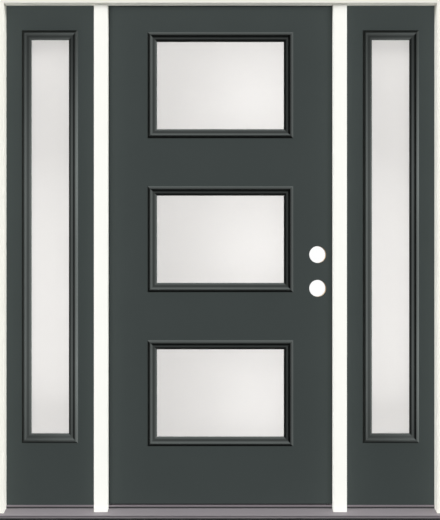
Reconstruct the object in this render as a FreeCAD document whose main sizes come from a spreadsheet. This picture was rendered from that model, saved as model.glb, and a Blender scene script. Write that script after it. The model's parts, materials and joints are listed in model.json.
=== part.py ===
"""A hinged entrance door between two fixed sidelights, in one frame on one sill, in millimetres.

+Z is up and the outside of the house is towards -Y. The origin is on the underside of the sill,
below the middle of the door leaf and halfway through the depth of the jambs.
"""

import FreeCAD, Part
import math
import os
import Sketcher

doc = FreeCAD.newDocument("entrance_door")

# Driving sizes
SIZES = {
    # door leaf
    "door_width": 908,
    "door_height": 1998,
    "door_thickness": 44.5,
    "door_gap": 5,
    "threshold_gap": 5,
    "skin_thickness": 2,
    "stile_width": 28,
    "stile_lip_margin": 0.5,
    "rail_height": 40,
    "lock_bevel": 2,
    # lock preparation
    "lock_height": 979,
    "lock_spacing": 135,
    "lock_bore_diameter": 67,
    "lock_backset": 65,
    "latch_bore_diameter": 25,
    "lock_block_side": 20,
    "lock_block_end": 60,
    "deadbolt_strike_depth": 28,
    "handle_strike_depth": 16,
    # frame
    "stop_width": 12,
    "stop_clearance": 6,
    "jamb_thickness": 19,
    "jamb_depth": 116,
    "mullion_thickness": 42,
    "mullion_setback": 16,
    "sidelight_width": 355,
    # weather seals
    "kerf_width": 3,
    "kerf_depth": 9,
    "kerf_offset": 2,
    "seal_fit": 0.2,
    "seal_contact_gap": 0.5,
    "seal_reveal": 1.5,
    "seal_radius": 2,
    # sill
    "sill_height": 32,
    "sill_ledge": 10,
    "nosing_height": 21,
    "nosing_projection": 30,
    "nosing_lip": 11,
    "nosing_radius": 1,
    "nosing_flange": 2,
    "deck_wall": 3,
    "groove_width": 4,
    "groove_depth": 6,
    "sill_base_setback": 14,
    "cap_height": 13,
    "cap_toe_gap": 0.5,
    "cap_shoulder": 5,
    "cap_groove_height": 7,
    # door bottom sweep
    "sweep_plate": 2,
    "sweep_inset": 4,
    "sweep_fin_width": 2,
    "sweep_fin_inset": 2,
    # lites
    "lite_width": 508,
    "lite_height": 349.5,
    "lite_top_margin": 150,
    "lite_bottom_margin": 267.5,
    "side_lite_width": 150,
    "side_lite_offset": 3,
    "side_lite_top_margin": 147.5,
    "side_lite_bottom_margin": 285.5,
    "pane_thickness": 3.2,
    "pane_depth": 10,
    "pane_edge_gap": 1,
    # moulding of the lite frames
    "moulding_width": 37,
    "moulding_height": 14,
    "moulding_edge": 4,
    "crest_width": 2,
    "cove_width": 11.5,
    "cove_drop": 10,
    "cove_radius": 11,
    "bead_radius": 11.5,
    "flange_lap": 20,
    "leg_fit": 1,
    "leg_thickness": 3,
    "leg_gap": 1,
    # butt hinges
    "hinge_height": 102,
    "hinge_leaf_width": 32,
    "hinge_leaf_thickness": 2.5,
    "knuckle_diameter": 12,
    "knuckle_standoff": 1.5,
    "knuckle_gap": 0.4,
    "pin_diameter": 7,
    "pin_clearance": 0.05,
    "pin_head_diameter": 10,
    "pin_head_height": 3,
    "pin_tip": 2,
    "top_hinge_drop": 178,
    "bottom_hinge_rise": 280,
}

sheet = doc.addObject("Spreadsheet::Sheet", "Sizes")
for row, (alias, number) in enumerate(SIZES.items(), 1):
    sheet.set(f"A{row}", alias)
    sheet.set(f"B{row}", str(number))
    sheet.setAlias(f"B{row}", alias)
doc.recompute()

# Places that several pieces share, as expressions of the sizes
BACK_Y = "(Sizes.jamb_depth / 2)"
FRONT_Y = "(-Sizes.jamb_depth / 2)"
MULLION_FRONT_Y = "(Sizes.mullion_setback - Sizes.jamb_depth / 2)"
LEAF_FRONT_Y = f"({BACK_Y} - Sizes.door_thickness)"
LEAF_MIDDLE_Y = f"({BACK_Y} - Sizes.door_thickness / 2)"
STOP_BACK_Y = f"({LEAF_FRONT_Y} - Sizes.stop_clearance)"
SLOPE_Y = f"({LEAF_FRONT_Y} - Sizes.sill_ledge)"
NOSE_Y = f"({FRONT_Y} - Sizes.nosing_projection)"
PIN_Y = f"({BACK_Y} + Sizes.knuckle_diameter / 2 + Sizes.knuckle_standoff)"

LEAF_X = "(Sizes.door_width / 2)"
RABBET_X = f"({LEAF_X} + Sizes.door_gap)"
STOP_X = f"({RABBET_X} - Sizes.stop_width)"
BAY_X = f"({RABBET_X} + Sizes.mullion_thickness)"
JAMB_X = f"({BAY_X} + Sizes.sidelight_width)"
OUTER_X = f"({JAMB_X} + Sizes.jamb_thickness)"
BAY_MIDDLE_X = f"({BAY_X} + Sizes.sidelight_width / 2)"
PIN_X = f"(-{LEAF_X} - Sizes.door_gap / 2)"
BORE_X = f"({LEAF_X} - Sizes.lock_backset)"

CAP_Z = "(Sizes.sill_height + Sizes.cap_height)"
LEAF_BOTTOM_Z = f"({CAP_Z} + Sizes.threshold_gap)"
LEAF_TOP_Z = f"({LEAF_BOTTOM_Z} + Sizes.door_height)"
RABBET_Z = f"({LEAF_TOP_Z} + Sizes.door_gap)"
STOP_Z = f"({RABBET_Z} - Sizes.stop_width)"
HEAD_Z = f"({RABBET_Z} + Sizes.jamb_thickness)"
BORE_HEIGHTS = {
    "deadbolt": "(Sizes.lock_height + Sizes.lock_spacing / 2)",
    "handle": "(Sizes.lock_height - Sizes.lock_spacing / 2)",
}

DECK_SLOPE = f"((Sizes.sill_height - Sizes.nosing_height) / ({SLOPE_Y} - {NOSE_Y}))"


def deck_z(y):
    """The height of the sloping deck's top at a depth y in front of its flat part."""
    return f"(Sizes.sill_height - {DECK_SLOPE} * ({SLOPE_Y} - {y}))"


def value(expression):
    """The number that an expression of the sizes gives now."""
    return float(sheet.evalExpression(expression))


pieces = []


def piece(item, label):
    """Name an object as one of the assembly's sub-parts."""
    item.Label = label
    pieces.append(item)
    return item


def place(item, x="0", y="0", z="0"):
    """Bind an object's place to the sizes."""
    for axis, expression in (("x", x), ("y", y), ("z", z)):
        item.setExpression(f"Placement.Base.{axis}", expression)
    return item


def block(name, x, y, z):
    """A rectangular block between two expressions on each axis."""
    item = doc.addObject("Part::Box", name)
    for side, (low, high) in (("Length", x), ("Width", y), ("Height", z)):
        item.setExpression(side, f"{high} - {low}")
    return place(item, x[0], y[0], z[0])


def rod(name, radius, length, axis=(0, 0, 1)):
    """A cylinder along an axis, with its start at the origin."""
    item = doc.addObject("Part::Cylinder", name)
    item.setExpression("Radius", radius)
    item.setExpression("Height", length)
    item.Placement.Rotation = FreeCAD.Rotation(FreeCAD.Vector(0, 0, 1), FreeCAD.Vector(*axis))
    return item


def fuse(name, items):
    """One solid of several that overlap, or one tool of several cutters."""
    item = doc.addObject("Part::MultiFuse", name)
    item.Shapes = items
    return item


def cut(name, base, tool):
    """A solid with a tool's space taken out of it."""
    item = doc.addObject("Part::Cut", name)
    item.Base = base
    item.Tool = tool
    return item


def together(name, items):
    """Like pieces that stand apart, kept as one sub-part."""
    item = doc.addObject("Part::Compound", name)
    item.Links = items
    return item


def new_body(name):
    return doc.addObject("PartDesign::Body", name)


def new_sketch(body, plane, name):
    """An empty sketch on one of a body's own origin planes."""
    sketch = body.newObject("Sketcher::SketchObject", name)
    support = next(item for item in body.Origin.OriginFeatures if item.Role == plane)
    sketch.AttachmentSupport = [(support, "")]
    sketch.MapMode = "FlatFace"
    return sketch


def bind(sketch, kind, places, expression):
    """Add one dimension to a sketch and bind it to the sizes."""
    index = sketch.addConstraint(Sketcher.Constraint(kind, *places, value(expression)))
    sketch.setExpression(f"Constraints[{index}]", expression)


def arc_middle(start, end, radius, turn):
    """The halfway point of a short arc that turns left (1) or right (-1) from start to end."""
    along = end - start
    half = along.Length / 2
    rise = radius - math.sqrt(radius**2 - half**2)
    outward = FreeCAD.Vector(along.y, -along.x, 0).normalize()
    return (start + end) / 2 + outward * rise * turn


def outline(sketch, points, closed=True):
    """Draw a line through points, each (u, v), or (u, v, radius, turn) where an arc follows it.

    Every point and radius is an expression, bound to the sketch as a dimension.
    """
    first = sketch.GeometryCount
    at = [FreeCAD.Vector(value(p[0]), value(p[1]), 0) for p in points]
    count = len(points) if closed else len(points) - 1
    for number in range(count):
        start, end = at[number], at[(number + 1) % len(points)]
        if len(points[number]) == 4:
            middle = arc_middle(start, end, value(points[number][2]), points[number][3])
            sketch.addGeometry(Part.Arc(start, middle, end))
        else:
            sketch.addGeometry(Part.LineSegment(start, end))
    ends = [open_ends(sketch, first + number, at[number]) for number in range(count)]
    for number in range(count):
        before = (number - 1) % count
        if closed or number:
            joint = (first + before, ends[before][1], first + number, ends[number][0])
            sketch.addConstraint(Sketcher.Constraint("Coincident", *joint))
        for kind, expression in zip(("DistanceX", "DistanceY"), points[number][:2]):
            bind(sketch, kind, (-1, 1, first + number, ends[number][0]), expression)
        if len(points[number]) == 4:
            bind(sketch, "Radius", (first + number,), points[number][2])
    if not closed:
        for kind, expression in zip(("DistanceX", "DistanceY"), points[-1][:2]):
            bind(sketch, kind, (-1, 1, first + count - 1, ends[-1][1]), expression)


def open_ends(sketch, geometry, start):
    """Which end of an edge (1 or 2) lies at its start point, and which at its end."""
    near = sketch.getPoint(geometry, 1).distanceToPoint(start)
    far = sketch.getPoint(geometry, 2).distanceToPoint(start)
    return (1, 2) if near <= far else (2, 1)


def rectangle(sketch, u, v):
    """A rectangle between two expressions on each of the sketch's axes."""
    outline(sketch, [(u[0], v[0]), (u[1], v[0]), (u[1], v[1]), (u[0], v[1])])


def circle(sketch, u, v, radius):
    """A circle about a point, all bound to the sizes."""
    centre = FreeCAD.Vector(value(u), value(v), 0)
    index = sketch.addGeometry(Part.Circle(centre, FreeCAD.Vector(0, 0, 1), value(radius)))
    bind(sketch, "DistanceX", (-1, 1, index, 3), u)
    bind(sketch, "DistanceY", (-1, 1, index, 3), v)
    bind(sketch, "Radius", (index,), radius)


def pad(body, sketch, length):
    """Thicken a sketch along its plane's own direction."""
    feature = body.newObject("PartDesign::Pad", f"{body.Name}_pad")
    feature.Profile = sketch
    feature.setExpression("Length", length)
    return feature


def bar(name, plane, points, length):
    """A body with one drawn section, run out along the axis across its plane."""
    body = new_body(name)
    sketch = new_sketch(body, plane, f"{name}_section")
    outline(sketch, points)
    pad(body, sketch, length)
    return body


# Sill: a base under a sloping deck, whose nosing has a groove along its front face
FLAT_WALL_Z = "(Sizes.sill_height - Sizes.deck_wall)"
GROOVE_TOP_Z = "(Sizes.nosing_height - Sizes.nosing_flange)"
GROOVE_LOW_Z = f"({GROOVE_TOP_Z} - Sizes.groove_width)"
GROOVE_FLOOR_Y = f"({NOSE_Y} + Sizes.groove_depth)"
LIP_Z = "(Sizes.nosing_height - Sizes.nosing_lip)"
BASE_FRONT_Y = f"({NOSE_Y} + Sizes.sill_base_setback)"
NOSE_INNER_Y = f"({GROOVE_FLOOR_Y} + Sizes.deck_wall)"
NOSE_ROUND_Y = f"({NOSE_Y} + Sizes.nosing_radius)"
WHOLE_WIDTH = f"2 * {OUTER_X}"

deck = bar(
    "sill_deck_bar",
    "YZ_Plane",
    [
        (BACK_Y, FLAT_WALL_Z),
        (BACK_Y, "Sizes.sill_height"),
        (SLOPE_Y, "Sizes.sill_height"),
        (NOSE_ROUND_Y, deck_z(NOSE_ROUND_Y), "Sizes.nosing_radius", 1),
        (NOSE_Y, "Sizes.nosing_height - Sizes.nosing_radius"),
        (NOSE_Y, GROOVE_TOP_Z),
        (GROOVE_FLOOR_Y, GROOVE_TOP_Z),
        (GROOVE_FLOOR_Y, GROOVE_LOW_Z),
        (NOSE_Y, GROOVE_LOW_Z),
        (NOSE_Y, LIP_Z),
        (NOSE_INNER_Y, LIP_Z),
        (NOSE_INNER_Y, f"{deck_z(NOSE_INNER_Y)} - Sizes.deck_wall"),
        (SLOPE_Y, FLAT_WALL_Z),
    ],
    WHOLE_WIDTH,
)
piece(place(deck, x=f"-{OUTER_X}"), "sill_deck")

base = bar(
    "sill_base_bar",
    "YZ_Plane",
    [
        (BACK_Y, "0"),
        (BACK_Y, FLAT_WALL_Z),
        (SLOPE_Y, FLAT_WALL_Z),
        (BASE_FRONT_Y, f"{deck_z(BASE_FRONT_Y)} - Sizes.deck_wall"),
        (BASE_FRONT_Y, "0"),
    ],
    WHOLE_WIDTH,
)
piece(place(base, x=f"-{OUTER_X}"), "sill_base")

# Caps on the flat part of the deck: one under the door leaf and one under each sidelight
CAP_GROOVE_Z = "(Sizes.sill_height + Sizes.cap_groove_height)"
CAP_SECTION = [
    (BACK_Y, "Sizes.sill_height"),
    (BACK_Y, CAP_Z),
    (f"{LEAF_FRONT_Y} - Sizes.cap_shoulder", CAP_Z),
    (f"{STOP_BACK_Y} + Sizes.cap_toe_gap", CAP_GROOVE_Z),
    (LEAF_FRONT_Y, CAP_GROOVE_Z),
    (LEAF_FRONT_Y, "Sizes.sill_height"),
]


def sill_cap(name, x, length):
    return place(bar(name, "YZ_Plane", CAP_SECTION, length), x=x)


# Posts: the outer jambs and the two mullions stand on the deck, cut to its slope
def post_side(front_y):
    """The outline of a post seen from its side, coped to the deck below and the head above."""
    return [
        (BACK_Y, "Sizes.sill_height"),
        (BACK_Y, RABBET_Z),
        (STOP_BACK_Y, RABBET_Z),
        (STOP_BACK_Y, STOP_Z),
        (front_y, STOP_Z),
        (front_y, deck_z(front_y)),
        (SLOPE_Y, "Sizes.sill_height"),
    ]


for side, jamb_x in (("left", f"-{OUTER_X}"), ("right", JAMB_X)):
    jamb = bar(f"{side}_jamb_bar", "YZ_Plane", post_side(FRONT_Y), "Sizes.jamb_thickness")
    piece(place(jamb, x=jamb_x), f"{side}_jamb")

# Hinges stand on the leaf at these heights, from their lower ends
TOP_HINGE_Z = f"({LEAF_TOP_Z} - Sizes.top_hinge_drop - Sizes.hinge_height)"
BOTTOM_HINGE_Z = f"({LEAF_BOTTOM_Z} + Sizes.bottom_hinge_rise)"
HINGE_HEIGHTS = {
    "top": TOP_HINGE_Z,
    "middle": f"(({TOP_HINGE_Z} + {BOTTOM_HINGE_Z}) / 2)",
    "bottom": BOTTOM_HINGE_Z,
}
HINGE_LEAF_Y = (f"({BACK_Y} - Sizes.hinge_leaf_width)", PIN_Y)
MULLION_SEAT_X = (f"(-{RABBET_X} - Sizes.hinge_leaf_thickness)", f"(-{RABBET_X})")
STILE_SEAT_X = (f"(-{LEAF_X})", f"(Sizes.hinge_leaf_thickness - {LEAF_X})")


def hinge_plate(name, seat_x, z):
    """A flat plate as large as one hinge leaf, between two places on X, with its lower end at z."""
    return block(name, seat_x, HINGE_LEAF_Y, (z, f"({z} + Sizes.hinge_height)"))


def hinge_seats(name, seat_x):
    """Cutters for the shallow seats of the three hinge leaves."""
    return [hinge_plate(f"{name}_{height}", seat_x, z) for height, z in HINGE_HEIGHTS.items()]


def latch_bore(name, start_x, z, length):
    """A cutter for the round hole of one bolt, along X at the height of its lock bore."""
    cutter = rod(name, "Sizes.latch_bore_diameter / 2", length, (1, 0, 0))
    return place(cutter, start_x, LEAF_MIDDLE_Y, z)


FULL_HEIGHT = ("Sizes.sill_height", RABBET_Z)
KERF_FRONT_Y = f"({STOP_BACK_Y} - Sizes.kerf_depth)"
KERF_OUTER_X = f"({RABBET_X} - Sizes.kerf_offset)"
KERF_INNER_X = f"({KERF_OUTER_X} - Sizes.kerf_width)"

for side, name in ((-1, "hinge_mullion"), (1, "lock_mullion")):
    post = bar(f"{name}_bar", "YZ_Plane", post_side(MULLION_FRONT_Y), f"{BAY_X} - {STOP_X}")
    place(post, x=f"-{BAY_X}" if side < 0 else STOP_X)
    rabbet = sorted((f"({side} * {STOP_X})", f"({side} * {RABBET_X})"), key=value)
    kerf = sorted((f"({side} * {KERF_INNER_X})", f"({side} * {KERF_OUTER_X})"), key=value)
    cutters = [
        block(f"{name}_rabbet", rabbet, (STOP_BACK_Y, BACK_Y), FULL_HEIGHT),
        block(f"{name}_kerf", kerf, (KERF_FRONT_Y, STOP_BACK_Y), FULL_HEIGHT),
    ]
    if side < 0:
        cutters += hinge_seats(f"{name}_seat", MULLION_SEAT_X)
    else:
        for lock, z in BORE_HEIGHTS.items():
            cutters.append(latch_bore(f"{lock}_strike", RABBET_X, z, f"Sizes.{lock}_strike_depth"))
    piece(cut(f"{name}_cut", post, fuse(f"{name}_cutters", cutters)), name)

# Head: one rabbeted bar across the tops of all four posts
KERF_TOP_Z = f"({RABBET_Z} - Sizes.kerf_offset)"
KERF_LOW_Z = f"({KERF_TOP_Z} - Sizes.kerf_width)"
head = bar(
    "head_bar",
    "YZ_Plane",
    [
        (FRONT_Y, STOP_Z),
        (STOP_BACK_Y, STOP_Z),
        (STOP_BACK_Y, KERF_LOW_Z),
        (KERF_FRONT_Y, KERF_LOW_Z),
        (KERF_FRONT_Y, KERF_TOP_Z),
        (STOP_BACK_Y, KERF_TOP_Z),
        (STOP_BACK_Y, RABBET_Z),
        (BACK_Y, RABBET_Z),
        (BACK_Y, HEAD_Z),
        (FRONT_Y, HEAD_Z),
    ],
    WHOLE_WIDTH,
)
piece(place(head, x=f"-{OUTER_X}"), "head_jamb")

door_cap = sill_cap("threshold_cap_bar", f"-{RABBET_X}", f"2 * {RABBET_X}")
piece(door_cap, "threshold_cap")
side_caps = [
    sill_cap("left_cap_bar", f"-{JAMB_X}", "Sizes.sidelight_width"),
    sill_cap("right_cap_bar", BAY_X, "Sizes.sidelight_width"),
]
piece(together("side_caps", side_caps), "sidelight_sill_caps")


# Weather seals: a soft bulb behind the stop, with a fin pushed into the kerf
def seal_section(inner, outer, kerf_inner, kerf_outer, turn):
    """The seal's section, from (across the stop, depth) pairs; turn is 1 where across runs to +X or +Z."""
    face_y = f"({LEAF_FRONT_Y} - Sizes.seal_contact_gap)"
    round_y = f"({face_y} - Sizes.seal_radius)"
    fin_y = f"({KERF_FRONT_Y} + Sizes.seal_fit)"
    step = f"{turn} * Sizes.seal_radius"
    fit = f"{turn} * Sizes.seal_fit"
    return [
        (inner, STOP_BACK_Y),
        (inner, round_y, "Sizes.seal_radius", -turn),
        (f"{inner} + {step}", face_y),
        (f"{outer} - {step}", face_y, "Sizes.seal_radius", -turn),
        (outer, round_y),
        (outer, STOP_BACK_Y),
        (f"{kerf_outer} - {fit}", STOP_BACK_Y),
        (f"{kerf_outer} - {fit}", fin_y),
        (f"{kerf_inner} + {fit}", fin_y),
        (f"{kerf_inner} + {fit}", STOP_BACK_Y),
    ]


SEAL_INNER_Z = f"({STOP_Z} + Sizes.seal_reveal)"
SEAL_OUTER_Z = f"({RABBET_Z} - Sizes.seal_fit)"
head_seal_section = seal_section(SEAL_INNER_Z, SEAL_OUTER_Z, KERF_LOW_Z, KERF_TOP_Z, 1)
head_seal = bar(
    "head_seal_bar",
    "YZ_Plane",
    [(y, z, *arc[:1], *[-turn for turn in arc[1:]]) for z, y, *arc in head_seal_section],
    f"2 * ({RABBET_X} - Sizes.seal_fit)",
)
piece(place(head_seal, x=f"-({RABBET_X} - Sizes.seal_fit)"), "head_weather_seal")

for side, name in ((-1, "hinge_side_weather_seal"), (1, "lock_side_weather_seal")):
    edges = [
        f"({side} * ({STOP_X} + Sizes.seal_reveal))",
        f"({side} * ({RABBET_X} - Sizes.seal_fit))",
        f"({side} * {KERF_INNER_X})",
        f"({side} * {KERF_OUTER_X})",
    ]
    seal_bottom = f"({CAP_Z} + Sizes.seal_fit)"
    seal_height = f"{STOP_Z} - Sizes.seal_fit - {seal_bottom}"
    seal = bar(f"{name}_bar", "XY_Plane", seal_section(*edges, side), seal_height)
    piece(place(seal, z=seal_bottom), name)

# Door leaf: two skins over stiles, rails, a lock block and a foam core, with three openings
STILE_LIP = "(Sizes.hinge_leaf_thickness + Sizes.stile_lip_margin)"
SKIN_LEFT_X = f"({STILE_LIP} - {LEAF_X})"
SKIN_RIGHT_X = f"({LEAF_X} - {STILE_LIP} - Sizes.lock_bevel)"
CORE_FRONT_Y = f"({LEAF_FRONT_Y} + Sizes.skin_thickness)"
CORE_BACK_Y = f"({BACK_Y} - Sizes.skin_thickness)"
CORE_DEPTH = "Sizes.door_thickness - 2 * Sizes.skin_thickness"
STILE_INNER_X = f"({LEAF_X} - Sizes.stile_width)"
CORE_BOTTOM_Z = f"({LEAF_BOTTOM_Z} + Sizes.rail_height)"
CORE_TOP_Z = f"({LEAF_TOP_Z} - Sizes.rail_height)"
UPPER_LITE_Z = f"({LEAF_TOP_Z} - Sizes.lite_top_margin - Sizes.lite_height / 2)"
LOWER_LITE_Z = f"({LEAF_BOTTOM_Z} + Sizes.lite_bottom_margin + Sizes.lite_height / 2)"
LITE_HEIGHTS = {
    "upper": UPPER_LITE_Z,
    "middle": f"(({UPPER_LITE_Z} + {LOWER_LITE_Z}) / 2)",
    "lower": LOWER_LITE_Z,
}
CUT_OUT_GROWTH = "(Sizes.moulding_width - Sizes.flange_lap)"


def span(middle, half):
    """The two ends of a length about its middle."""
    return (f"({middle} - ({half}))", f"({middle} + ({half}))")


def cut_outs(sketch):
    """The three openings that the lite frames fill."""
    for z in LITE_HEIGHTS.values():
        rectangle(
            sketch,
            span("0", f"Sizes.lite_width / 2 + {CUT_OUT_GROWTH}"),
            span(z, f"Sizes.lite_height / 2 + {CUT_OUT_GROWTH}"),
        )


for name, back_y in (("front", CORE_FRONT_Y), ("back", BACK_Y)):
    skin = new_body(f"door_{name}_skin_body")
    sketch = new_sketch(skin, "XZ_Plane", f"door_{name}_skin_outline")
    rectangle(sketch, (SKIN_LEFT_X, SKIN_RIGHT_X), (LEAF_BOTTOM_Z, LEAF_TOP_Z))
    cut_outs(sketch)
    for z in BORE_HEIGHTS.values():
        circle(sketch, BORE_X, z, "Sizes.lock_bore_diameter / 2")
    pad(skin, sketch, "Sizes.skin_thickness")
    piece(place(skin, y=back_y), f"door_{name}_skin")

core = new_body("door_core_body")
sketch = new_sketch(core, "XZ_Plane", "door_core_outline")
BLOCK_LEFT_X = f"({BORE_X} - Sizes.lock_bore_diameter / 2 - Sizes.lock_block_side)"
BLOCK_HALF_HEIGHT = "(Sizes.lock_spacing / 2 + Sizes.lock_bore_diameter / 2 + Sizes.lock_block_end)"
BLOCK_Z = span("Sizes.lock_height", BLOCK_HALF_HEIGHT)
outline(
    sketch,
    [
        (f"-{STILE_INNER_X}", CORE_BOTTOM_Z),
        (STILE_INNER_X, CORE_BOTTOM_Z),
        (STILE_INNER_X, BLOCK_Z[0]),
        (BLOCK_LEFT_X, BLOCK_Z[0]),
        (BLOCK_LEFT_X, BLOCK_Z[1]),
        (STILE_INNER_X, BLOCK_Z[1]),
        (STILE_INNER_X, CORE_TOP_Z),
        (f"-{STILE_INNER_X}", CORE_TOP_Z),
    ],
)
cut_outs(sketch)
pad(core, sketch, CORE_DEPTH)
piece(place(core, y=CORE_BACK_Y), "door_core")

RAIL_X = (f"(-{STILE_INNER_X})", STILE_INNER_X)
CORE_Y = (CORE_FRONT_Y, CORE_BACK_Y)
piece(block("top_rail", RAIL_X, CORE_Y, (CORE_TOP_Z, LEAF_TOP_Z)), "door_top_rail")
piece(block("bottom_rail", RAIL_X, CORE_Y, (LEAF_BOTTOM_Z, CORE_BOTTOM_Z)), "door_bottom_rail")

# Stiles: each has a full-thickness lip at the leaf's edge and a tongue between the skins
hinge_stile = bar(
    "hinge_stile_bar",
    "XY_Plane",
    [
        (f"-{LEAF_X}", LEAF_FRONT_Y),
        (SKIN_LEFT_X, LEAF_FRONT_Y),
        (SKIN_LEFT_X, CORE_FRONT_Y),
        (f"-{STILE_INNER_X}", CORE_FRONT_Y),
        (f"-{STILE_INNER_X}", CORE_BACK_Y),
        (SKIN_LEFT_X, CORE_BACK_Y),
        (SKIN_LEFT_X, BACK_Y),
        (f"-{LEAF_X}", BACK_Y),
    ],
    "Sizes.door_height",
)
place(hinge_stile, z=LEAF_BOTTOM_Z)
stile_seats = fuse("hinge_stile_cutters", hinge_seats("hinge_stile_seat", STILE_SEAT_X))
piece(cut("hinge_stile_cut", hinge_stile, stile_seats), "door_hinge_stile")

lock_stile = bar(
    "lock_stile_bar",
    "XY_Plane",
    [
        (f"{LEAF_X} - Sizes.lock_bevel", LEAF_FRONT_Y),
        (LEAF_X, BACK_Y),
        (SKIN_RIGHT_X, BACK_Y),
        (SKIN_RIGHT_X, CORE_BACK_Y),
        (STILE_INNER_X, CORE_BACK_Y),
        (STILE_INNER_X, CORE_FRONT_Y),
        (SKIN_RIGHT_X, CORE_FRONT_Y),
        (SKIN_RIGHT_X, LEAF_FRONT_Y),
    ],
    "Sizes.door_height",
)
place(lock_stile, z=LEAF_BOTTOM_Z)
stile_bores = [
    latch_bore(f"{lock}_stile_bore", STILE_INNER_X, z, "Sizes.stile_width")
    for lock, z in BORE_HEIGHTS.items()
]
lock_stile_tool = fuse("lock_stile_cutters", stile_bores)
piece(cut("lock_stile_cut", lock_stile, lock_stile_tool), "door_lock_stile")

lock_block = block("lock_block_blank", (BLOCK_LEFT_X, STILE_INNER_X), CORE_Y, BLOCK_Z)
block_bores = []
for lock, z in BORE_HEIGHTS.items():
    lock_bore = rod(f"{lock}_bore", "Sizes.lock_bore_diameter / 2", CORE_DEPTH, (0, 1, 0))
    block_bores.append(place(lock_bore, BORE_X, CORE_FRONT_Y, z))
    block_bores.append(latch_bore(f"{lock}_block_bore", BORE_X, z, f"{STILE_INNER_X} - {BORE_X}"))
piece(cut("lock_block_cut", lock_block, fuse("lock_block_cutters", block_bores)), "door_lock_block")

# Sweep under the leaf: a plate with a row of fins that brush the threshold cap
SWEEP_FRONT_Y = f"({LEAF_FRONT_Y} + Sizes.sweep_inset)"
SWEEP_BACK_Y = f"({BACK_Y} - Sizes.sweep_inset)"
SWEEP_PLATE_Z = f"({LEAF_BOTTOM_Z} - Sizes.sweep_plate)"
FIN_TIP_Z = f"({CAP_Z} + Sizes.seal_contact_gap)"
FIN_ROW = f"({SWEEP_BACK_Y} - {SWEEP_FRONT_Y} - 2 * Sizes.sweep_fin_inset - Sizes.sweep_fin_width)"
SWEEP_FINS = 3
sweep_section = [
    (SWEEP_BACK_Y, SWEEP_PLATE_Z),
    (SWEEP_BACK_Y, LEAF_BOTTOM_Z),
    (SWEEP_FRONT_Y, LEAF_BOTTOM_Z),
    (SWEEP_FRONT_Y, SWEEP_PLATE_Z),
]
for number in range(SWEEP_FINS):
    fin_front = f"({SWEEP_FRONT_Y} + Sizes.sweep_fin_inset + {number} * {FIN_ROW} / {SWEEP_FINS - 1})"
    fin_back = f"({fin_front} + Sizes.sweep_fin_width)"
    sweep_section += [
        (fin_front, SWEEP_PLATE_Z),
        (fin_front, FIN_TIP_Z),
        (fin_back, FIN_TIP_Z),
        (fin_back, SWEEP_PLATE_Z),
    ]
sweep = bar("sweep_bar", "YZ_Plane", sweep_section, f"2 * {STILE_INNER_X}")
piece(place(sweep, x=f"-{STILE_INNER_X}"), "door_bottom_sweep")


# Lites: a moulded frame on each face, mitred at the corners, that clamps two panes of glass
def moulding_section(outer_half):
    """The section of a lite frame across its lower side, as (depth, height) with the face at zero depth."""
    edge = f"(-({outer_half}))"
    crest = "(Sizes.moulding_height - Sizes.moulding_edge)"
    cove_top = f"({edge} + {crest} + Sizes.crest_width)"
    cove_foot = f"({cove_top} + Sizes.cove_width)"
    lip = f"({edge} + Sizes.moulding_width)"
    ledge = "(Sizes.cove_drop - Sizes.moulding_height)"
    leg_outer = f"({edge} + Sizes.flange_lap + Sizes.leg_fit)"
    leg_inner = f"({leg_outer} + Sizes.leg_thickness)"
    leg_end = "(Sizes.door_thickness / 2 - Sizes.leg_gap / 2)"
    return [
        ("0", edge),
        ("-Sizes.moulding_edge", edge, crest, -1),
        ("-Sizes.moulding_height", f"{edge} + {crest}"),
        ("-Sizes.moulding_height", cove_top, "Sizes.cove_radius", 1),
        (ledge, cove_foot),
        (ledge, f"({lip} - Sizes.bead_radius)", "Sizes.bead_radius", -1),
        (f"{ledge} + Sizes.bead_radius", lip),
        ("Sizes.pane_depth", lip),
        ("Sizes.pane_depth", leg_inner),
        (leg_end, leg_inner),
        (leg_end, leg_outer),
        ("0", leg_outer),
    ]


def lite_frame(name, width, height):
    """A moulded ring about the origin, with the face it lies on at zero depth and its moulding towards -Y."""
    half_width = f"({width} / 2 + Sizes.moulding_width)"
    half_height = f"({height} / 2 + Sizes.moulding_width)"
    body = new_body(name)
    path = new_sketch(body, "XZ_Plane", f"{name}_path")
    corners = [
        ("0", f"-{half_height}"),
        (half_width, f"-{half_height}"),
        (half_width, half_height),
        (f"-{half_width}", half_height),
        (f"-{half_width}", f"-{half_height}"),
    ]
    outline(path, corners)
    section = new_sketch(body, "YZ_Plane", f"{name}_section")
    outline(section, moulding_section(half_height))
    doc.recompute()
    ring = body.newObject("PartDesign::AdditivePipe", f"{name}_ring")
    ring.Profile = section
    ring.Spine = (path, [f"Edge{number}" for number in range(1, len(corners) + 1)])
    ring.Transition = "Right corner"
    return body


def glazed_lite(name, width, height, x, z):
    """The front frame, back frame and pair of panes of one lite."""
    front = lite_frame(f"{name}_front_ring", width, height)
    piece(place(front, x, LEAF_FRONT_Y, z), f"{name}_front_frame")
    back = lite_frame(f"{name}_back_ring", width, height)
    back.Placement.Rotation = FreeCAD.Rotation(FreeCAD.Vector(0, 0, 1), 180)
    piece(place(back, x, BACK_Y, z), f"{name}_back_frame")
    edge_lap = (
        "(Sizes.moulding_width - Sizes.flange_lap - Sizes.leg_fit"
        " - Sizes.leg_thickness - Sizes.pane_edge_gap)"
    )
    across = span(x, f"{width} / 2 + {edge_lap}")
    tall = span(z, f"{height} / 2 + {edge_lap}")
    outer_y = f"({LEAF_FRONT_Y} + Sizes.pane_depth)"
    inner_y = f"({BACK_Y} - Sizes.pane_depth)"
    panes = [
        block(f"{name}_outer_pane", across, (outer_y, f"({outer_y} + Sizes.pane_thickness)"), tall),
        block(f"{name}_inner_pane", across, (f"({inner_y} - Sizes.pane_thickness)", inner_y), tall),
    ]
    piece(together(f"{name}_panes", panes), f"{name}_glass")


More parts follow.
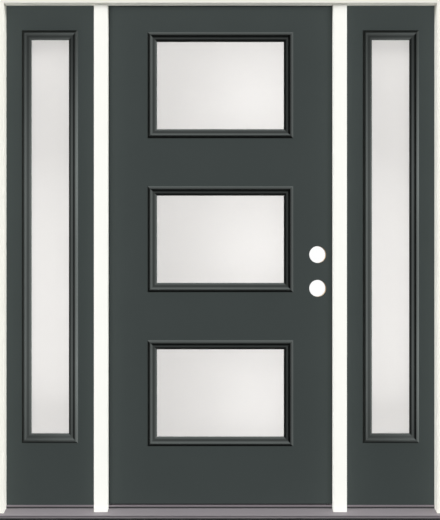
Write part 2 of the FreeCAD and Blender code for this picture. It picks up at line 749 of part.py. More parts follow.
for name, z in LITE_HEIGHTS.items():
    glazed_lite(f"{name}_lite", "Sizes.lite_width", "Sizes.lite_height", "0", z)

# Sidelights: a fixed panel of the leaf's thickness, with one tall lite set towards the jamb
SIDE_LITE_LOW_Z = f"({CAP_Z} + Sizes.side_lite_bottom_margin)"
SIDE_LITE_HIGH_Z = f"({RABBET_Z} - Sizes.side_lite_top_margin)"
SIDE_LITE_HEIGHT = f"({SIDE_LITE_HIGH_Z} - {SIDE_LITE_LOW_Z})"
SIDE_LITE_Z = f"(({SIDE_LITE_HIGH_Z} + {SIDE_LITE_LOW_Z}) / 2)"
for side, name in ((-1, "left_sidelight"), (1, "right_sidelight")):
    middle_x = f"({side} * {BAY_MIDDLE_X})"
    lite_x = f"({side} * ({BAY_MIDDLE_X} + Sizes.side_lite_offset))"
    panel = new_body(f"{name}_panel_body")
    sketch = new_sketch(panel, "XZ_Plane", f"{name}_panel_outline")
    rectangle(sketch, span(middle_x, "Sizes.sidelight_width / 2"), (CAP_Z, RABBET_Z))
    rectangle(
        sketch,
        span(lite_x, f"Sizes.side_lite_width / 2 + {CUT_OUT_GROWTH}"),
        span(SIDE_LITE_Z, f"{SIDE_LITE_HEIGHT} / 2 + {CUT_OUT_GROWTH}"),
    )
    pad(panel, sketch, "Sizes.door_thickness")
    piece(place(panel, y=BACK_Y), f"{name}_panel")
    glazed_lite(name, "Sizes.side_lite_width", SIDE_LITE_HEIGHT, lite_x, SIDE_LITE_Z)

# Butt hinges: leaves seated in the mullion and the stile, with interleaved knuckles on one pin
KNUCKLES = 5
KNUCKLE_PITCH = f"(Sizes.hinge_height / {KNUCKLES})"
KNUCKLE_RADIUS = "(Sizes.knuckle_diameter / 2)"
PIN_BORE_RADIUS = "(Sizes.pin_diameter / 2 + Sizes.pin_clearance)"


def hinge_leaf(name, seat_x, own_knuckles, z):
    """A plate and its knuckles, with room cut for the knuckles of the other leaf and for the pin."""
    plate = hinge_plate(f"{name}_plate", seat_x, z)
    barrel = place(rod(f"{name}_barrel", KNUCKLE_RADIUS, "Sizes.hinge_height"), PIN_X, PIN_Y, z)
    pin_bore = place(rod(f"{name}_bore", PIN_BORE_RADIUS, "Sizes.hinge_height"), PIN_X, PIN_Y, z)
    cutters = [pin_bore]
    for number in range(KNUCKLES):
        if number not in own_knuckles:
            room = rod(
                f"{name}_room_{number}",
                f"{KNUCKLE_RADIUS} + Sizes.knuckle_gap",
                f"{KNUCKLE_PITCH} + Sizes.knuckle_gap",
            )
            room_z = f"{z} + {number} * {KNUCKLE_PITCH} - Sizes.knuckle_gap / 2"
            cutters.append(place(room, PIN_X, PIN_Y, room_z))
    whole = fuse(f"{name}_blank", [plate, barrel])
    return cut(f"{name}_cut", whole, fuse(f"{name}_cutters", cutters))


def hinge_pin(name, z):
    """A turned pin with a flat head on the top knuckle and a tip below the lowest one."""
    body = new_body(name)
    sketch = new_sketch(body, "XZ_Plane", f"{name}_profile")
    head_radius = "(Sizes.pin_head_diameter / 2)"
    head_top = "(Sizes.hinge_height + Sizes.pin_head_height)"
    outline(
        sketch,
        [
            ("0", "-Sizes.pin_tip"),
            ("Sizes.pin_diameter / 2", "-Sizes.pin_tip"),
            ("Sizes.pin_diameter / 2", "Sizes.hinge_height"),
            (head_radius, "Sizes.hinge_height"),
            (head_radius, head_top),
            ("0", head_top),
        ],
    )
    turned = body.newObject("PartDesign::Revolution", f"{name}_turned")
    turned.Profile = sketch
    turned.ReferenceAxis = (sketch, ["V_Axis"])
    turned.Angle = 360
    return place(body, PIN_X, PIN_Y, z)


pins = []
for height, z in HINGE_HEIGHTS.items():
    frame_leaf = hinge_leaf(f"{height}_hinge_frame", MULLION_SEAT_X, (0, 2, 4), z)
    piece(frame_leaf, f"{height}_hinge_frame_leaf")
    door_leaf = hinge_leaf(f"{height}_hinge_door", STILE_SEAT_X, (1, 3), z)
    piece(door_leaf, f"{height}_hinge_door_leaf")
    pins.append(hinge_pin(f"{height}_hinge_pin", z))
piece(together("pins", pins), "hinge_pins")

doc.recompute()

for item in doc.Objects:
    if "Invalid" in item.State or "Error" in item.State:
        raise RuntimeError(f"{item.Name} did not build: {item.State}")
for item in pieces:
    if item.Shape.isNull() or not item.Shape.isValid():
        raise RuntimeError(f"{item.Label} has no valid shape")

os.makedirs("parts", exist_ok=True)
for item in pieces:
    item.Shape.exportStep(f"parts/{item.Label}.step")
    print(item.Label, len(item.Shape.Solids), round(item.Shape.Volume))
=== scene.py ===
import json
import math

import bmesh
import bpy
from mathutils import Matrix, Vector

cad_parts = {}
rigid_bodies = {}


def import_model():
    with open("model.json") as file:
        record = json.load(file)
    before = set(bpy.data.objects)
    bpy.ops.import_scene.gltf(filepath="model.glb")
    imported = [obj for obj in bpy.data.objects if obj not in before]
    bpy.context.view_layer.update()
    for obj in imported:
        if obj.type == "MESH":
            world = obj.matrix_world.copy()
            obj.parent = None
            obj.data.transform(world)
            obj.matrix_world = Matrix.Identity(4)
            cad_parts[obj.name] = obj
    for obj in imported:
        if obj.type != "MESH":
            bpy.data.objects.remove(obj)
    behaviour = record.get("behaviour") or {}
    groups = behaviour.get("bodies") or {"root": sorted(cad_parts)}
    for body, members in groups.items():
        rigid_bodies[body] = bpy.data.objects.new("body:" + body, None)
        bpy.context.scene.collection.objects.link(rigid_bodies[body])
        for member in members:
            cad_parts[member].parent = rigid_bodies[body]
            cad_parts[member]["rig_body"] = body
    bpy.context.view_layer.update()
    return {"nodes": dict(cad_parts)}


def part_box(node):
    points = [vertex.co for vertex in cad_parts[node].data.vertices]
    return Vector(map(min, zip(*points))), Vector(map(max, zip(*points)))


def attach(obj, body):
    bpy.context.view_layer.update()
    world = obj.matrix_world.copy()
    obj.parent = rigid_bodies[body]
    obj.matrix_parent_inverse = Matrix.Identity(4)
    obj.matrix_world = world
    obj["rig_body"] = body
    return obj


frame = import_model()
nodes = frame["nodes"]


# Sill base
# The core of the sill is a black beam of wood-filled plastic, extruded and cut to the unit's width.
# It keeps the metal deck off the wet floor, and only its front edge, ends and underside show.
MM = 0.001


def linear(hex_colour):
    """An sRGB hex colour as linear red, green and blue, with full alpha."""
    channels = [int(hex_colour[at : at + 2], 16) / 255 for at in (1, 3, 5)]
    return [c / 12.92 if c <= 0.04045 else ((c + 0.055) / 1.055) ** 2.4 for c in channels] + [1]


def add_node(tree, kind, settings=None, inputs=None, feeds=None):
    """Add a node to a tree, with its settings, its inputs set or linked, and its outputs linked on."""
    item = tree.nodes.new("ShaderNode" + kind)
    for name, setting in (settings or {}).items():
        setattr(item, name, setting)
    for name, source in (inputs or {}).items():
        if isinstance(source, bpy.types.NodeSocket):
            tree.links.new(source, item.inputs[name])
        else:
            item.inputs[name].default_value = source
    for name, target in (feeds or {}).items():
        tree.links.new(item.outputs[name], target)
    return item


def surface(name, roughness, metallic=0.0, specular=0.5):
    """A new material: its node tree, its shader and the object's own coordinates in metres."""
    material = bpy.data.materials.new(name)
    material.use_nodes = True
    tree = material.node_tree
    shader = tree.nodes["Principled BSDF"]
    shader.inputs["Roughness"].default_value = roughness
    shader.inputs["Metallic"].default_value = metallic
    shader.inputs["Specular IOR Level"].default_value = specular
    return material, tree, shader, add_node(tree, "TexCoord").outputs["Object"]


def vary(tree, shader, pattern, shades, depth):
    """Let a pattern run the colour between two close shades and raise the surface by some millimetres."""
    dark, light = (linear(shade) for shade in shades)
    colour = {2: shader.inputs["Base Color"]}
    add_node(tree, "Mix", {"data_type": "RGBA"}, {0: pattern, 6: dark, 7: light}, colour)
    raised = {"Normal": shader.inputs["Normal"]}
    add_node(tree, "Bump", None, {"Height": pattern, "Distance": depth * MM}, raised)


def dress(material, *names):
    """Give CAD nodes their finished material."""
    for name in names:
        nodes[name].data.materials.clear()
        nodes[name].data.materials.append(material)


# Black wood-plastic composite: dull, with a grain of fine filler about 2 mm across
composite, tree, shader, place = surface("wood_plastic_composite", 0.75, specular=0.3)
filler = add_node(tree, "TexNoise", None, {"Vector": place, "Scale": 1 / (2 * MM), "Detail": 3})
vary(tree, shader, filler.outputs["Fac"], ("#2d2d2e", "#333334"), 0.05)
dress(composite, "sill_base")


# Sill deck and caps
# The deck is an aluminium extrusion with a grooved nosing, clipped over the base, and the caps that
# the leaf and the sidelights come down on are smaller extrusions. All are anodised a warm grey, and the
# caps' grey is set darker than the deck's as painted shade.
def anodised(name, shades):
    """Satin anodised aluminium: an etched oxide layer with a soft, half-matt sheen, and faint die lines
    along the extrusion. Real ones are under 0.5 mm apart, so they are drawn 3 mm apart to show."""
    material, tree, shader, place = surface(name, 0.65, metallic=0.15, specular=0.1)
    drawn = add_node(tree, "Mapping", None, {"Vector": place, "Scale": (0.01, 1, 1)})
    die_lines = add_node(
        tree, "TexNoise", None, {"Vector": drawn.outputs["Vector"], "Scale": 1 / (3 * MM), "Detail": 4}
    )
    vary(tree, shader, die_lines.outputs["Fac"], shades, 0.05)
    return material


deck_metal = anodised("satin_anodised_aluminium_deck", ("#8d878b", "#a39ea2"))
dress(deck_metal, "sill_deck")
# The caps take the deck's grey darkened as painted shade
shaded_cap_metal = anodised("satin_anodised_aluminium_cap_in_painted_shade", ("#6d676b", "#7d777b"))
dress(shaded_cap_metal, "threshold_cap", "sidelight_sill_caps")


# Jambs, mullions and head
# The frame is finger-jointed pine, planed to a rabbeted section, primed and sprayed white at the mill,
# then coped to the sill, nailed through the head and sealed at the joints.
def white_paint(name, shades, along):
    """White satin paint over planed pine, whose grain, 6 mm wide, shows faintly along the piece."""
    material, tree, shader, place = surface(name, 0.5, specular=0.15)
    stretch = [1 if axis != along else 0.02 for axis in range(3)]
    planed = add_node(tree, "Mapping", None, {"Vector": place, "Scale": stretch})
    grain = add_node(
        tree,
        "TexNoise",
        None,
        {"Vector": planed.outputs["Vector"], "Scale": 1 / (6 * MM), "Detail": 5, "Roughness": 0.6},
    )
    vary(tree, shader, grain.outputs["Fac"], shades, 0.2)
    return material


LEVEL, UPRIGHT = 0, 2
JAMB_WHITES = ("#efeee5", "#f4f3ea")
MULLION_WHITES = ("#f6f6f0", "#fbfbf5")
dress(white_paint("white_paint_on_pine_jamb", JAMB_WHITES, UPRIGHT), "left_jamb", "right_jamb")
dress(white_paint("white_paint_on_pine_mullion", MULLION_WHITES, UPRIGHT), "hinge_mullion", "lock_mullion")
dress(white_paint("white_paint_on_pine_head", JAMB_WHITES, LEVEL), "head_jamb")


# Weather seals
# A strip of soft foam in a thin vinyl cover is pushed into the kerf behind each stop, where the
# closed leaf presses on it.
# Black vinyl film over foam: a dull sheen, with soft wrinkles about 8 mm long
seal_vinyl, tree, shader, place = surface("vinyl_over_foam", 0.6, specular=0.35)
wrinkles = add_node(tree, "TexNoise", None, {"Vector": place, "Scale": 1 / (8 * MM), "Detail": 2})
vary(tree, shader, wrinkles.outputs["Fac"], ("#202021", "#2d2d2e"), 0.4)
dress(seal_vinyl, "head_weather_seal", "hinge_side_weather_seal", "lock_side_weather_seal")


# Painted shade under the sill caps
# A strip of the same black vinyl is laid under the toe of each sill cap as painted shade. It darkens
# the groove there, which the lamps would otherwise light.
SHADE_STRIP_HEIGHT = 7 * MM
SHADE_STRIP_INSET = 0.7 * MM
SHADE_STRIP_ROUND = 1 * MM
LEAF_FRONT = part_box("door_front_skin")[0].y


def finish_piece(mesh, name, material, body):
    """Turn a bmesh into a named piece that rides on a CAD body."""
    bmesh.ops.recalc_face_normals(mesh, faces=mesh.faces)
    data = bpy.data.meshes.new(name)
    mesh.to_mesh(data)
    mesh.free()
    data.materials.append(material)
    item = bpy.data.objects.new(name, data)
    bpy.context.scene.collection.objects.link(item)
    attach(item, body)
    return item


cap_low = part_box("threshold_cap")[0]
front = cap_low.y + SHADE_STRIP_INSET
middle_y = (front + LEAF_FRONT) / 2
# Black strips that stand in for the shade under the cap toes
shade_strips = bmesh.new()
for over in ("threshold_cap", "left_sidelight_panel", "right_sidelight_panel"):
    left, right = (corner.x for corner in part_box(over))
    strip = bmesh.ops.create_cube(shade_strips, size=1)["verts"]
    bmesh.ops.scale(shade_strips, vec=(right - left, LEAF_FRONT - front, SHADE_STRIP_HEIGHT), verts=strip)
    middle = ((left + right) / 2, middle_y, cap_low.z + SHADE_STRIP_HEIGHT / 2)
    bmesh.ops.translate(shade_strips, vec=middle, verts=strip)
front_edges = [edge for edge in shade_strips.edges if all(vert.co.y < middle_y for vert in edge.verts)]
bmesh.ops.bevel(
    shade_strips, geom=front_edges, offset=SHADE_STRIP_ROUND, segments=2, profile=0.5, affect="EDGES", material=-1
)
# The strips are painted shade in black vinyl, not seals
finish_piece(shade_strips, "sill_cap_painted_shade_strips", seal_vinyl, "frame")


# Sidelight panels and door skins
# The leaf has two smooth fibreglass skins, pressed flat and glued to a timber surround, with foam
# between them. The fixed sidelight panels match it, and all are sprayed a dark grey-green.
def dark_paint(name, shades, roughness, specular):
    """Satin two-part paint: even and low in gloss, with a spray mottle about 3 mm across and a drift of
    shade over a quarter of a metre."""
    material, tree, shader, place = surface(name, roughness, specular=specular)
    spray = add_node(tree, "TexNoise", None, {"Vector": place, "Scale": 1 / (3 * MM), "Detail": 2})
    drift = add_node(tree, "TexNoise", None, {"Vector": place, "Scale": 1 / (250 * MM), "Detail": 3})
    shade = {0: drift.outputs["Fac"], 6: linear(shades[0]), 7: linear(shades[1])}
    add_node(tree, "Mix", {"data_type": "RGBA"}, shade, {2: shader.inputs["Base Color"]})
    peel = {"Height": spray.outputs["Fac"], "Distance": 0.03 * MM}
    add_node(tree, "Bump", None, peel, {"Normal": shader.inputs["Normal"]})
    return material


skin_paint = dark_paint("satin_paint_on_fibreglass", ("#373d3c", "#3b4140"), 0.55, 0.1)
dress(skin_paint, "door_front_skin", "door_back_skin")

# The white posts on both sides of a panel throw light on it, so its paint is mixed a little darker to
# look the same
panel_paint = dark_paint("satin_paint_on_moulded_panel", ("#353b3a", "#393f3e"), 0.55, 0.1)
dress(panel_paint, "left_sidelight_panel", "right_sidelight_panel")


# Stiles and rails
# The edges of the leaf are laminated timber, square on the hinge side and bevelled on the lock side,
# rabbeted for the skins and painted with them. Fine grain still shows through the paint.
edge_paint, tree, shader, place = surface("satin_paint_on_timber", 0.55, specular=0.1)
sawn = add_node(tree, "Mapping", None, {"Vector": place, "Scale": (1, 1, 0.02)})
edge_grain = add_node(
    tree, "TexNoise", None, {"Vector": sawn.outputs["Vector"], "Scale": 1 / (2.5 * MM), "Detail": 4}
)
vary(tree, shader, edge_grain.outputs["Fac"], ("#383e3d", "#434948"), 0.2)
dress(edge_paint, "door_hinge_stile", "door_lock_stile", "door_top_rail", "door_bottom_rail")


# Lock block and core
# A bare block of laminated timber behind the skins carries the locks, and shows only as the wall of
# the bores. The rest of the leaf is filled with poured foam.
# Laminated veneer: pale brown, in layers about 3 mm thick across the leaf
WAVE_LENGTH = math.pi / 10  # of Blender's wave bands at a scale of 1
veneer, tree, shader, place = surface("laminated_veneer_timber", 0.7, specular=0.3)
layers = add_node(
    tree,
    "TexWave",
    {"bands_direction": "Y"},
    {"Vector": place, "Scale": WAVE_LENGTH / (3 * MM), "Distortion": 1.5, "Detail": 2},
)
vary(tree, shader, layers.outputs["Fac"], ("#b3956c", "#d3bc95"), 0.1)
dress(veneer, "door_lock_block")

# Polyurethane foam: pale yellow, with open cells about 1.5 mm across
foam, tree, shader, place = surface("polyurethane_foam", 0.9, specular=0.2)
cells = add_node(tree, "TexVoronoi", None, {"Vector": place, "Scale": 1 / (1.5 * MM)})
vary(tree, shader, cells.outputs["Distance"], ("#b59c5c", "#dbc68c"), 0.5)
dress(foam, "door_core")


# Door bottom sweep
# A finned strip of soft vinyl, stapled to the bottom rail, brushes the threshold cap as the leaf shuts.
# Extruded black vinyl: a dull sheen, with faint drag lines along the strip
sweep_vinyl, tree, shader, place = surface("extruded_soft_vinyl", 0.5, specular=0.4)
drag = add_node(tree, "Mapping", None, {"Vector": place, "Scale": (0.02, 1, 1)})
drag_lines = add_node(
    tree, "TexNoise", None, {"Vector": drag.outputs["Vector"], "Scale": 1 / (1.5 * MM), "Detail": 2}
)
vary(tree, shader, drag_lines.outputs["Fac"], ("#151516", "#222223"), 0.1)
dress(sweep_vinyl, "door_bottom_sweep")


# Lite frames
# Each lite is held by two moulded plastic rings, one on each face, screwed together through the leaf
# or the panel. They are sprayed with the same paint, which dries duller on the moulding. Its colour here
# is painted shade, set darker than the skins' against the strong lamps on the mouldings. It is also
# greyer, to paint the neutral tone of a sheen on their lit slopes.
# Painted shade and sheen: the skins' paint, made darker and greyer for the mouldings
shaded_frame_paint = dark_paint("dull_paint_on_moulded_plastic_in_painted_shade", ("#303332", "#363938"), 0.6, 0.02)
DOOR_LITES = ("upper_lite", "middle_lite", "lower_lite")
SIDELIGHTS = ("left_sidelight", "right_sidelight")
LITES = DOOR_LITES + SIDELIGHTS
for lite in LITES:
    dress(shaded_frame_paint, f"{lite}_front_frame", f"{lite}_back_frame")


# Glass units
# Each lite has two panes of acid-etched glass, sealed together round a spacer bar that the frames hide.
# Satin etched glass: white and even, it passes light but no picture
etched, tree, shader, place = surface("satin_etched_glass", 0.5)
etch = add_node(tree, "TexNoise", None, {"Vector": place, "Scale": 1 / (4 * MM), "Detail": 3})
vary(tree, shader, etch.outputs["Fac"], ("#f2f0ee", "#f7f5f3"), 0.01)
shader.inputs["IOR"].default_value = 1.5
shader.inputs["Transmission Weight"].default_value = 0.35
for lite in LITES:
    dress(etched, f"{lite}_glass")

# Spacer: a folded strip of grey steel, with the sealant's edge round it
spacer_steel, tree, shader, place = surface("grey_spacer_steel", 0.45, metallic=1.0)
rolled = add_node(tree, "TexNoise", None, {"Vector": place, "Scale": 1 / (5 * MM), "Detail": 2})
vary(tree, shader, rolled.outputs["Fac"], ("#8b8d8f", "#a3a5a7"), 0.05)

SPACER_WIDTH = 8 * MM
SPACER_EDGE = 2 * MM
PANE_THICKNESS = 3.2 * MM


def body_of(node):
    """The CAD body that carries a node."""
    return nodes[node]["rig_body"]


def moved_verts(made):
    """The vertices that an extrusion made."""
    return [part for part in made["geom"] if isinstance(part, bmesh.types.BMVert)]


for lite in LITES:
    low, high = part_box(f"{lite}_glass")
    middle = (low + high) / 2
    size = high - low
    ring = bmesh.new()
    bmesh.ops.create_grid(ring, x_segments=1, y_segments=1, size=0.5)
    outside = (size.x - 2 * SPACER_EDGE, size.z - 2 * SPACER_EDGE, 1)
    bmesh.ops.scale(ring, vec=outside, verts=ring.verts)
    bmesh.ops.rotate(ring, matrix=Matrix.Rotation(math.radians(90), 3, "X"), verts=ring.verts)
    bmesh.ops.translate(ring, vec=(middle.x, low.y + PANE_THICKNESS, middle.z), verts=ring.verts)
    sheet = list(ring.faces)
    bmesh.ops.inset_region(
        ring, faces=sheet, thickness=SPACER_WIDTH, use_boundary=True, use_even_offset=True
    )
    bmesh.ops.delete(ring, geom=sheet, context="FACES")
    walls = bmesh.ops.extrude_face_region(ring, geom=list(ring.faces))
    bmesh.ops.translate(ring, vec=(0, size.y - 2 * PANE_THICKNESS, 0), verts=moved_verts(walls))
    finish_piece(ring, f"{lite}_spacer", spacer_steel, body_of(f"{lite}_glass"))


# Screw plugs
# The screws that draw the two lite frames together go in from inside, and each is hidden by a small
# domed plug of the same painted plastic, pressed into the flat of the moulding.
PLUG_SIDES = 20
PLUG_RADIUS = 2.4 * MM
PLUG_HEIGHT = 0.9 * MM
PLUG_ROUND = 0.5 * MM
PLUG_SPACING = 190 * MM
LEDGE_INSET = 24.5 * MM
LEDGE_HEIGHT = 4 * MM
LEAF_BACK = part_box("door_back_skin")[1].y


def stations(low, high):
    """Even places along a side, set in from its corners, about the screw spacing apart."""
    span = high - low
    count = max(1, round(span / PLUG_SPACING))
    return [low + span * (number + 0.5) / count for number in range(count)]


for lite in LITES:
    low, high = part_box(f"{lite}_back_frame")
    left, right = low.x + LEDGE_INSET, high.x - LEDGE_INSET
    bottom, top = low.z + LEDGE_INSET, high.z - LEDGE_INSET
    places = [(x, z) for x in stations(left, right) for z in (bottom, top)]
    places += [(x, z) for x in (left, right) for z in stations(bottom, top)]
    middle_y = LEAF_BACK + LEDGE_HEIGHT + PLUG_HEIGHT / 2
    plugs = bmesh.new()
    for x, z in places:
        made = bmesh.ops.create_cone(
            plugs,
            cap_ends=True,
            segments=PLUG_SIDES,
            radius1=PLUG_RADIUS,
            radius2=PLUG_RADIUS,
            depth=PLUG_HEIGHT,
        )["verts"]
        bmesh.ops.rotate(plugs, matrix=Matrix.Rotation(math.radians(-90), 3, "X"), verts=made)
        bmesh.ops.translate(plugs, vec=(x, middle_y, z), verts=made)
    crown = [edge for edge in plugs.edges if all(vert.co.y > middle_y for vert in edge.verts)]
    bmesh.ops.bevel(
        plugs, geom=crown, offset=PLUG_ROUND, segments=2, profile=0.5, affect="EDGES", material=-1
    )
    # The plugs take the moulding paint, with its painted shade
    finish_piece(plugs, f"{lite}_screw_plugs", shaded_frame_paint, body_of(f"{lite}_back_frame"))


# Butt hinges
# Three pairs of pressed steel leaves, let into the mullion and the stile and pinned together, carry
# the leaf. Each is held by four countersunk screws, and all are plated.
# Satin nickel plate: a warm soft metal with a fine upright brush, drawn 2 mm wide to show
nickel, tree, shader, place = surface("satin_nickel_plate", 0.33, metallic=1.0)
brush = add_node(tree, "Mapping", None, {"Vector": place, "Scale": (1, 1, 0.03)})
brushed = add_node(
    tree, "TexNoise", None, {"Vector": brush.outputs["Vector"], "Scale": 1 / (2 * MM), "Detail": 3}
)
vary(tree, shader, brushed.outputs["Fac"], ("#a8a39a", "#c2beb5"), 0.04)
HINGES = ("top", "middle", "bottom")
for height in HINGES:
    dress(nickel, f"{height}_hinge_frame_leaf", f"{height}_hinge_door_leaf")
dress(nickel, "hinge_pins")

HINGE_PLATE = 2.5 * MM
SCREW_RADIUS = 4 * MM
SCREW_PROUD = 0.5 * MM
RECESS_DEPTH = 0.35 * MM
SCREW_CELLS = 5
# Millimetres towards the inside and up, from the low corner of a hinge leaf
SCREW_PLACES = ((8, 14), (20, 38), (8, 64), (20, 88))


def screw_head(mesh, place, facing):
    """A flat screw head with a crossed recess, at a place on a leaf and facing along X."""
    head = bmesh.new()
    bmesh.ops.create_grid(head, x_segments=SCREW_CELLS, y_segments=SCREW_CELLS, size=SCREW_RADIUS)
    for vert in head.verts:
        if vert.is_boundary:
            vert.co = vert.co.normalized() * SCREW_RADIUS
    cell = 2 * SCREW_RADIUS / SCREW_CELLS
    # The middle cell and the one on each side of it make the cross
    crossed = []
    for face in head.faces:
        across, up = sorted(abs(c) for c in face.calc_center_median()[:2])
        if across < cell / 2 and up < 1.5 * cell:
            crossed.append(face)
    sunk = bmesh.ops.extrude_face_region(head, geom=crossed)
    bmesh.ops.translate(head, vec=(0, 0, -RECESS_DEPTH), verts=moved_verts(sunk))
    bmesh.ops.delete(head, geom=crossed, context="FACES")
    rim = bmesh.ops.extrude_edge_only(head, edges=[edge for edge in head.edges if edge.is_boundary])
    bmesh.ops.translate(head, vec=(0, 0, -SCREW_PROUD), verts=moved_verts(rim))
    bmesh.ops.holes_fill(head, edges=[edge for edge in head.edges if edge.is_boundary])
    bmesh.ops.rotate(head, matrix=Matrix.Rotation(facing * math.radians(90), 3, "Y"), verts=head.verts)
    bmesh.ops.translate(head, vec=place, verts=head.verts)
    made = bpy.data.meshes.new("screw_head")
    head.to_mesh(made)
    head.free()
    mesh.from_mesh(made)
    bpy.data.meshes.remove(made)


for side, facing in (("frame", 1), ("door", -1)):
    screws = bmesh.new()
    for height in HINGES:
        low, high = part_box(f"{height}_hinge_{side}_leaf")
        face_x = low.x + HINGE_PLATE if side == "frame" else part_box("door_hinge_stile")[0].x
        for y, z in SCREW_PLACES:
            place = Vector((face_x + facing * SCREW_PROUD, low.y + y * MM, low.z + z * MM))
            screw_head(screws, place, facing)
    finish_piece(screws, f"hinge_{side}_leaf_screws", nickel, side)


# Studio
# A plain pale floor under an even white sky, with broad soft lamps from the front and the back. The
# white frame, the deck, the mouldings and the panes each have lamps of their own, as a studio sets
# them, so that white keeps its edges and low light across the mouldings brings out their section.
# Pale floor paint: nearly white to the camera and grey to other rays, so that it throws little light up
floor_paint, tree, shader, place = surface("pale_floor", 0.9, specular=0.1)
speckle = add_node(tree, "TexNoise", None, {"Vector": place, "Scale": 1 / (400 * MM), "Detail": 2})
whites = {0: speckle.outputs["Fac"], 6: linear("#ededeb"), 7: linear("#f3f3f1")}
seen_white = add_node(tree, "Mix", {"data_type": "RGBA"}, whites)
to_camera = add_node(tree, "LightPath").outputs["Is Camera Ray"]
colours = {0: to_camera, 6: linear("#606060"), 7: seen_white.outputs[2]}
add_node(tree, "Mix", {"data_type": "RGBA"}, colours, {2: shader.inputs["Base Color"]})
FLOOR_SIZE = 30
FLOOR_DROP = 0.2 * MM
floor_mesh = bmesh.new()
bmesh.ops.create_grid(floor_mesh, x_segments=1, y_segments=1, size=FLOOR_SIZE)
bmesh.ops.translate(floor_mesh, vec=(0, 0, -FLOOR_DROP), verts=floor_mesh.verts)
floor_data = bpy.data.meshes.new("floor")
floor_mesh.to_mesh(floor_data)
floor_mesh.free()
floor_data.materials.append(floor_paint)
floor = bpy.data.objects.new("floor", floor_data)
bpy.context.scene.collection.objects.link(floor)

# The sky is white where the camera, a reflection or the glass shows it, and lights the object faintly
SKY_LEVEL = 0.1
SKY_SEEN = 1.0
world = bpy.data.worlds.new("white_studio")
world.use_nodes = True
bpy.context.scene.world = world
sky = world.node_tree
background = sky.nodes["Background"]
background.inputs["Color"].default_value = (1, 1, 1, 1)
ray = add_node(sky, "LightPath").outputs
larger = {"operation": "MAXIMUM"}
seen = add_node(sky, "Math", larger, {0: ray["Is Camera Ray"], 1: ray["Is Glossy Ray"]})
passed = add_node(sky, "Math", larger, {0: seen.outputs[0], 1: ray["Is Transmission Ray"]})
levels = {0: passed.outputs[0], 2: SKY_LEVEL, 3: SKY_SEEN}
add_node(sky, "Mix", {"data_type": "FLOAT"}, levels, {0: background.inputs["Strength"]})


def light_group(name, members, state):
    """A set of pieces that a lamp takes alone (INCLUDE) or leaves out (EXCLUDE)."""
    group = bpy.data.collections.new(name)
    for member in members:
        group.objects.link(nodes[member])
    for link in group.collection_objects:
        link.light_linking.link_state = state
    return group


posts = ["left_jamb", "right_jamb", "hinge_mullion", "lock_mullion"]
white_frame = posts + ["head_jamb"]
door_mouldings = [f"{lite}_front_frame" for lite in DOOR_LITES]
side_mouldings = [f"{lite}_front_frame" for lite in SIDELIGHTS]
mouldings = door_mouldings + side_mouldings
back_mouldings = [f"{lite}_back_frame" for lite in LITES]
door_panes = [f"{lite}_glass" for lite in DOOR_LITES]
side_panes = [f"{lite}_glass" for lite in SIDELIGHTS]
own_lamps = mouldings + door_panes + side_panes + white_frame + ["sill_deck"]
plain_faces = light_group("plain_faces", own_lamps, "EXCLUDE")
all_but_reliefs = light_group("all_but_reliefs", mouldings + white_frame, "EXCLUDE")
door_section = light_group("door_section", door_mouldings, "INCLUDE")
back_section = light_group("back_section", back_mouldings, "INCLUDE")
plain_backs = light_group("plain_backs", back_mouldings, "EXCLUDE")
door_glazing = light_group("door_glazing", door_panes, "INCLUDE")
side_glazing = light_group("side_glazing", side_panes, "INCLUDE")
side_lites = light_group("side_lites", side_mouldings + side_panes, "INCLUDE")
uprights = light_group("uprights", posts, "INCLUDE")
uprights_and_head = light_group("uprights_and_head", white_frame, "INCLUDE")
head = light_group("head", ["head_jamb"], "INCLUDE")
deck = light_group("deck", ["sill_deck"], "INCLUDE")
deck_and_posts = light_group("deck_and_posts", ["sill_deck"] + posts, "INCLUDE")
NO_SHADOW = "none"

# Each lamp: the way to it from the object, its level on a surface that faces it, its spread in degrees,
# the pieces that it lights and the pieces that cast its shadows
LAMPS = {
    "front_left": ((-1.4, -1, 0.8), 0.85, 40, plain_faces, all_but_reliefs),
    "front_right": ((1.4, -1, 0.8), 0.85, 40, plain_faces, all_but_reliefs),
    "frame_left": ((-1.7, -1, 0.8), 0.87, 40, uprights, uprights_and_head),
    "frame_right": ((1.7, -1, 0.8), 1.07, 40, uprights, uprights_and_head),
    "head_left": ((-1.2, -1, 0.6), 0.63, 40, head, head),
    "head_right": ((1.2, -1, 0.6), 0.63, 40, head, head),
    "back_left": ((-0.4, 1, 0.6), 0.5, 40, plain_backs, None),
    "back_right": ((0.4, 1, 0.6), 0.5, 40, plain_backs, None),
    "under_head": ((0, -0.25, -1), 0.42, 40, head, head),
    "over_sill": ((0, -0.7, 1), 0.9, 100, deck, deck_and_posts),
    "across_door": ((2.0, -0.75, 2.2), 4.2, 15, door_section, NO_SHADOW),
    "across_back": ((-2.0, 0.75, 2.2), 4.2, 15, back_section, NO_SHADOW),
    "door_glass_left": ((-1.4, -1, 0.8), 0.72, 40, door_glazing, door_glazing),
    "door_glass_right": ((1.4, -1, 0.8), 0.72, 40, door_glazing, door_glazing),
    "before_side_glass": ((0, -1, 0.4), 0.5, 60, side_glazing, side_glazing),
    "down_side_glass": ((0, -0.3, 1), 0.66, 14, side_glazing, side_lites),
    "along_side_glass": ((0, -0.036, 1), 5.5, 2, side_glazing, side_lites),
    "up_side_glass": ((0, -0.12, -1), 1.5, 8, side_glazing, side_lites),
}


def hang_lamp(name, kind, energy, lit, shading):
    """Add a lamp that lights one set of pieces and takes its shadows from another."""
    light = bpy.data.lights.new(name, kind)
    light.energy = energy
    light.use_shadow = shading != NO_SHADOW
    item = bpy.data.objects.new(name, light)
    bpy.context.scene.collection.objects.link(item)
    item.light_linking.receiver_collection = lit
    if light.use_shadow:
        item.light_linking.blocker_collection = shading
    return light, item


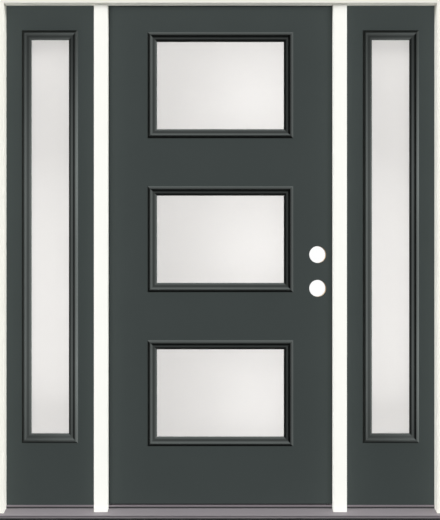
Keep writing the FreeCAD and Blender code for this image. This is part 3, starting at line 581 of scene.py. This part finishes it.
for name, (way, level, spread, lit, shading) in LAMPS.items():
    light, item = hang_lamp(name, "SUN", level * math.pi, lit, shading)
    light.angle = math.radians(spread)
    item.rotation_euler = Vector(way).to_track_quat("Z", "Y").to_euler()

NEAR_LAMP_RADIUS = 0.15


def near_lamp(name, node, offset, level, lit, shading):
    """A small lamp off the middle of a node, with its level on a surface that faces it a metre away."""
    light, item = hang_lamp(name, "POINT", level * 4 * math.pi**2, lit, shading)
    light.shadow_soft_size = NEAR_LAMP_RADIUS
    item.location = sum(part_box(node), Vector()) / 2 + offset


# Each sidelight's moulding has a pair of small lamps at its right, between its top and bottom rails, so
# that the outer edges of those rails turn from the light
SECTION_LAMPS = {"low": Vector((0.55, -0.3, -0.55)), "high": Vector((0.55, -0.3, 0.28))}
SECTION_LEVEL = 1.3
for lite in SIDELIGHTS:
    moulding = f"{lite}_front_frame"
    section = light_group(f"{lite}_section", [moulding], "INCLUDE")
    for height, offset in SECTION_LAMPS.items():
        near_lamp(f"{height}_beside_{lite}", moulding, offset, SECTION_LEVEL, section, NO_SHADOW)

# Each lite of the door has one before the right of its panes, whose light fades over the frosting
GLOW_LAMP = Vector((0.145, -0.3, -0.035))
GLOW_LEVEL = 0.032
for lite in DOOR_LITES:
    near_lamp(f"before_{lite}", f"{lite}_glass", GLOW_LAMP, GLOW_LEVEL, door_glazing, door_glazing)

# The camera looks straight at the leaf, and the longer side of the image, its height, takes the sensor's
# width
CAMERA_DISTANCE = 5.6
CAMERA_SIDE = -1.6 * MM
CAMERA_HEIGHT = 1.0247
IMAGE_HEIGHT = 520
PIXEL_SIZE = 4.0 * MM
camera = bpy.data.objects.new("camera", bpy.data.cameras.new("camera"))
camera.location = (CAMERA_SIDE, LEAF_FRONT - CAMERA_DISTANCE, CAMERA_HEIGHT)
camera.rotation_euler = (math.radians(90), 0, 0)
camera.data.lens = camera.data.sensor_width * CAMERA_DISTANCE / (IMAGE_HEIGHT * PIXEL_SIZE)
bpy.context.scene.collection.objects.link(camera)
bpy.context.scene.camera = camera
bpy.context.scene.view_settings.view_transform = "Standard"
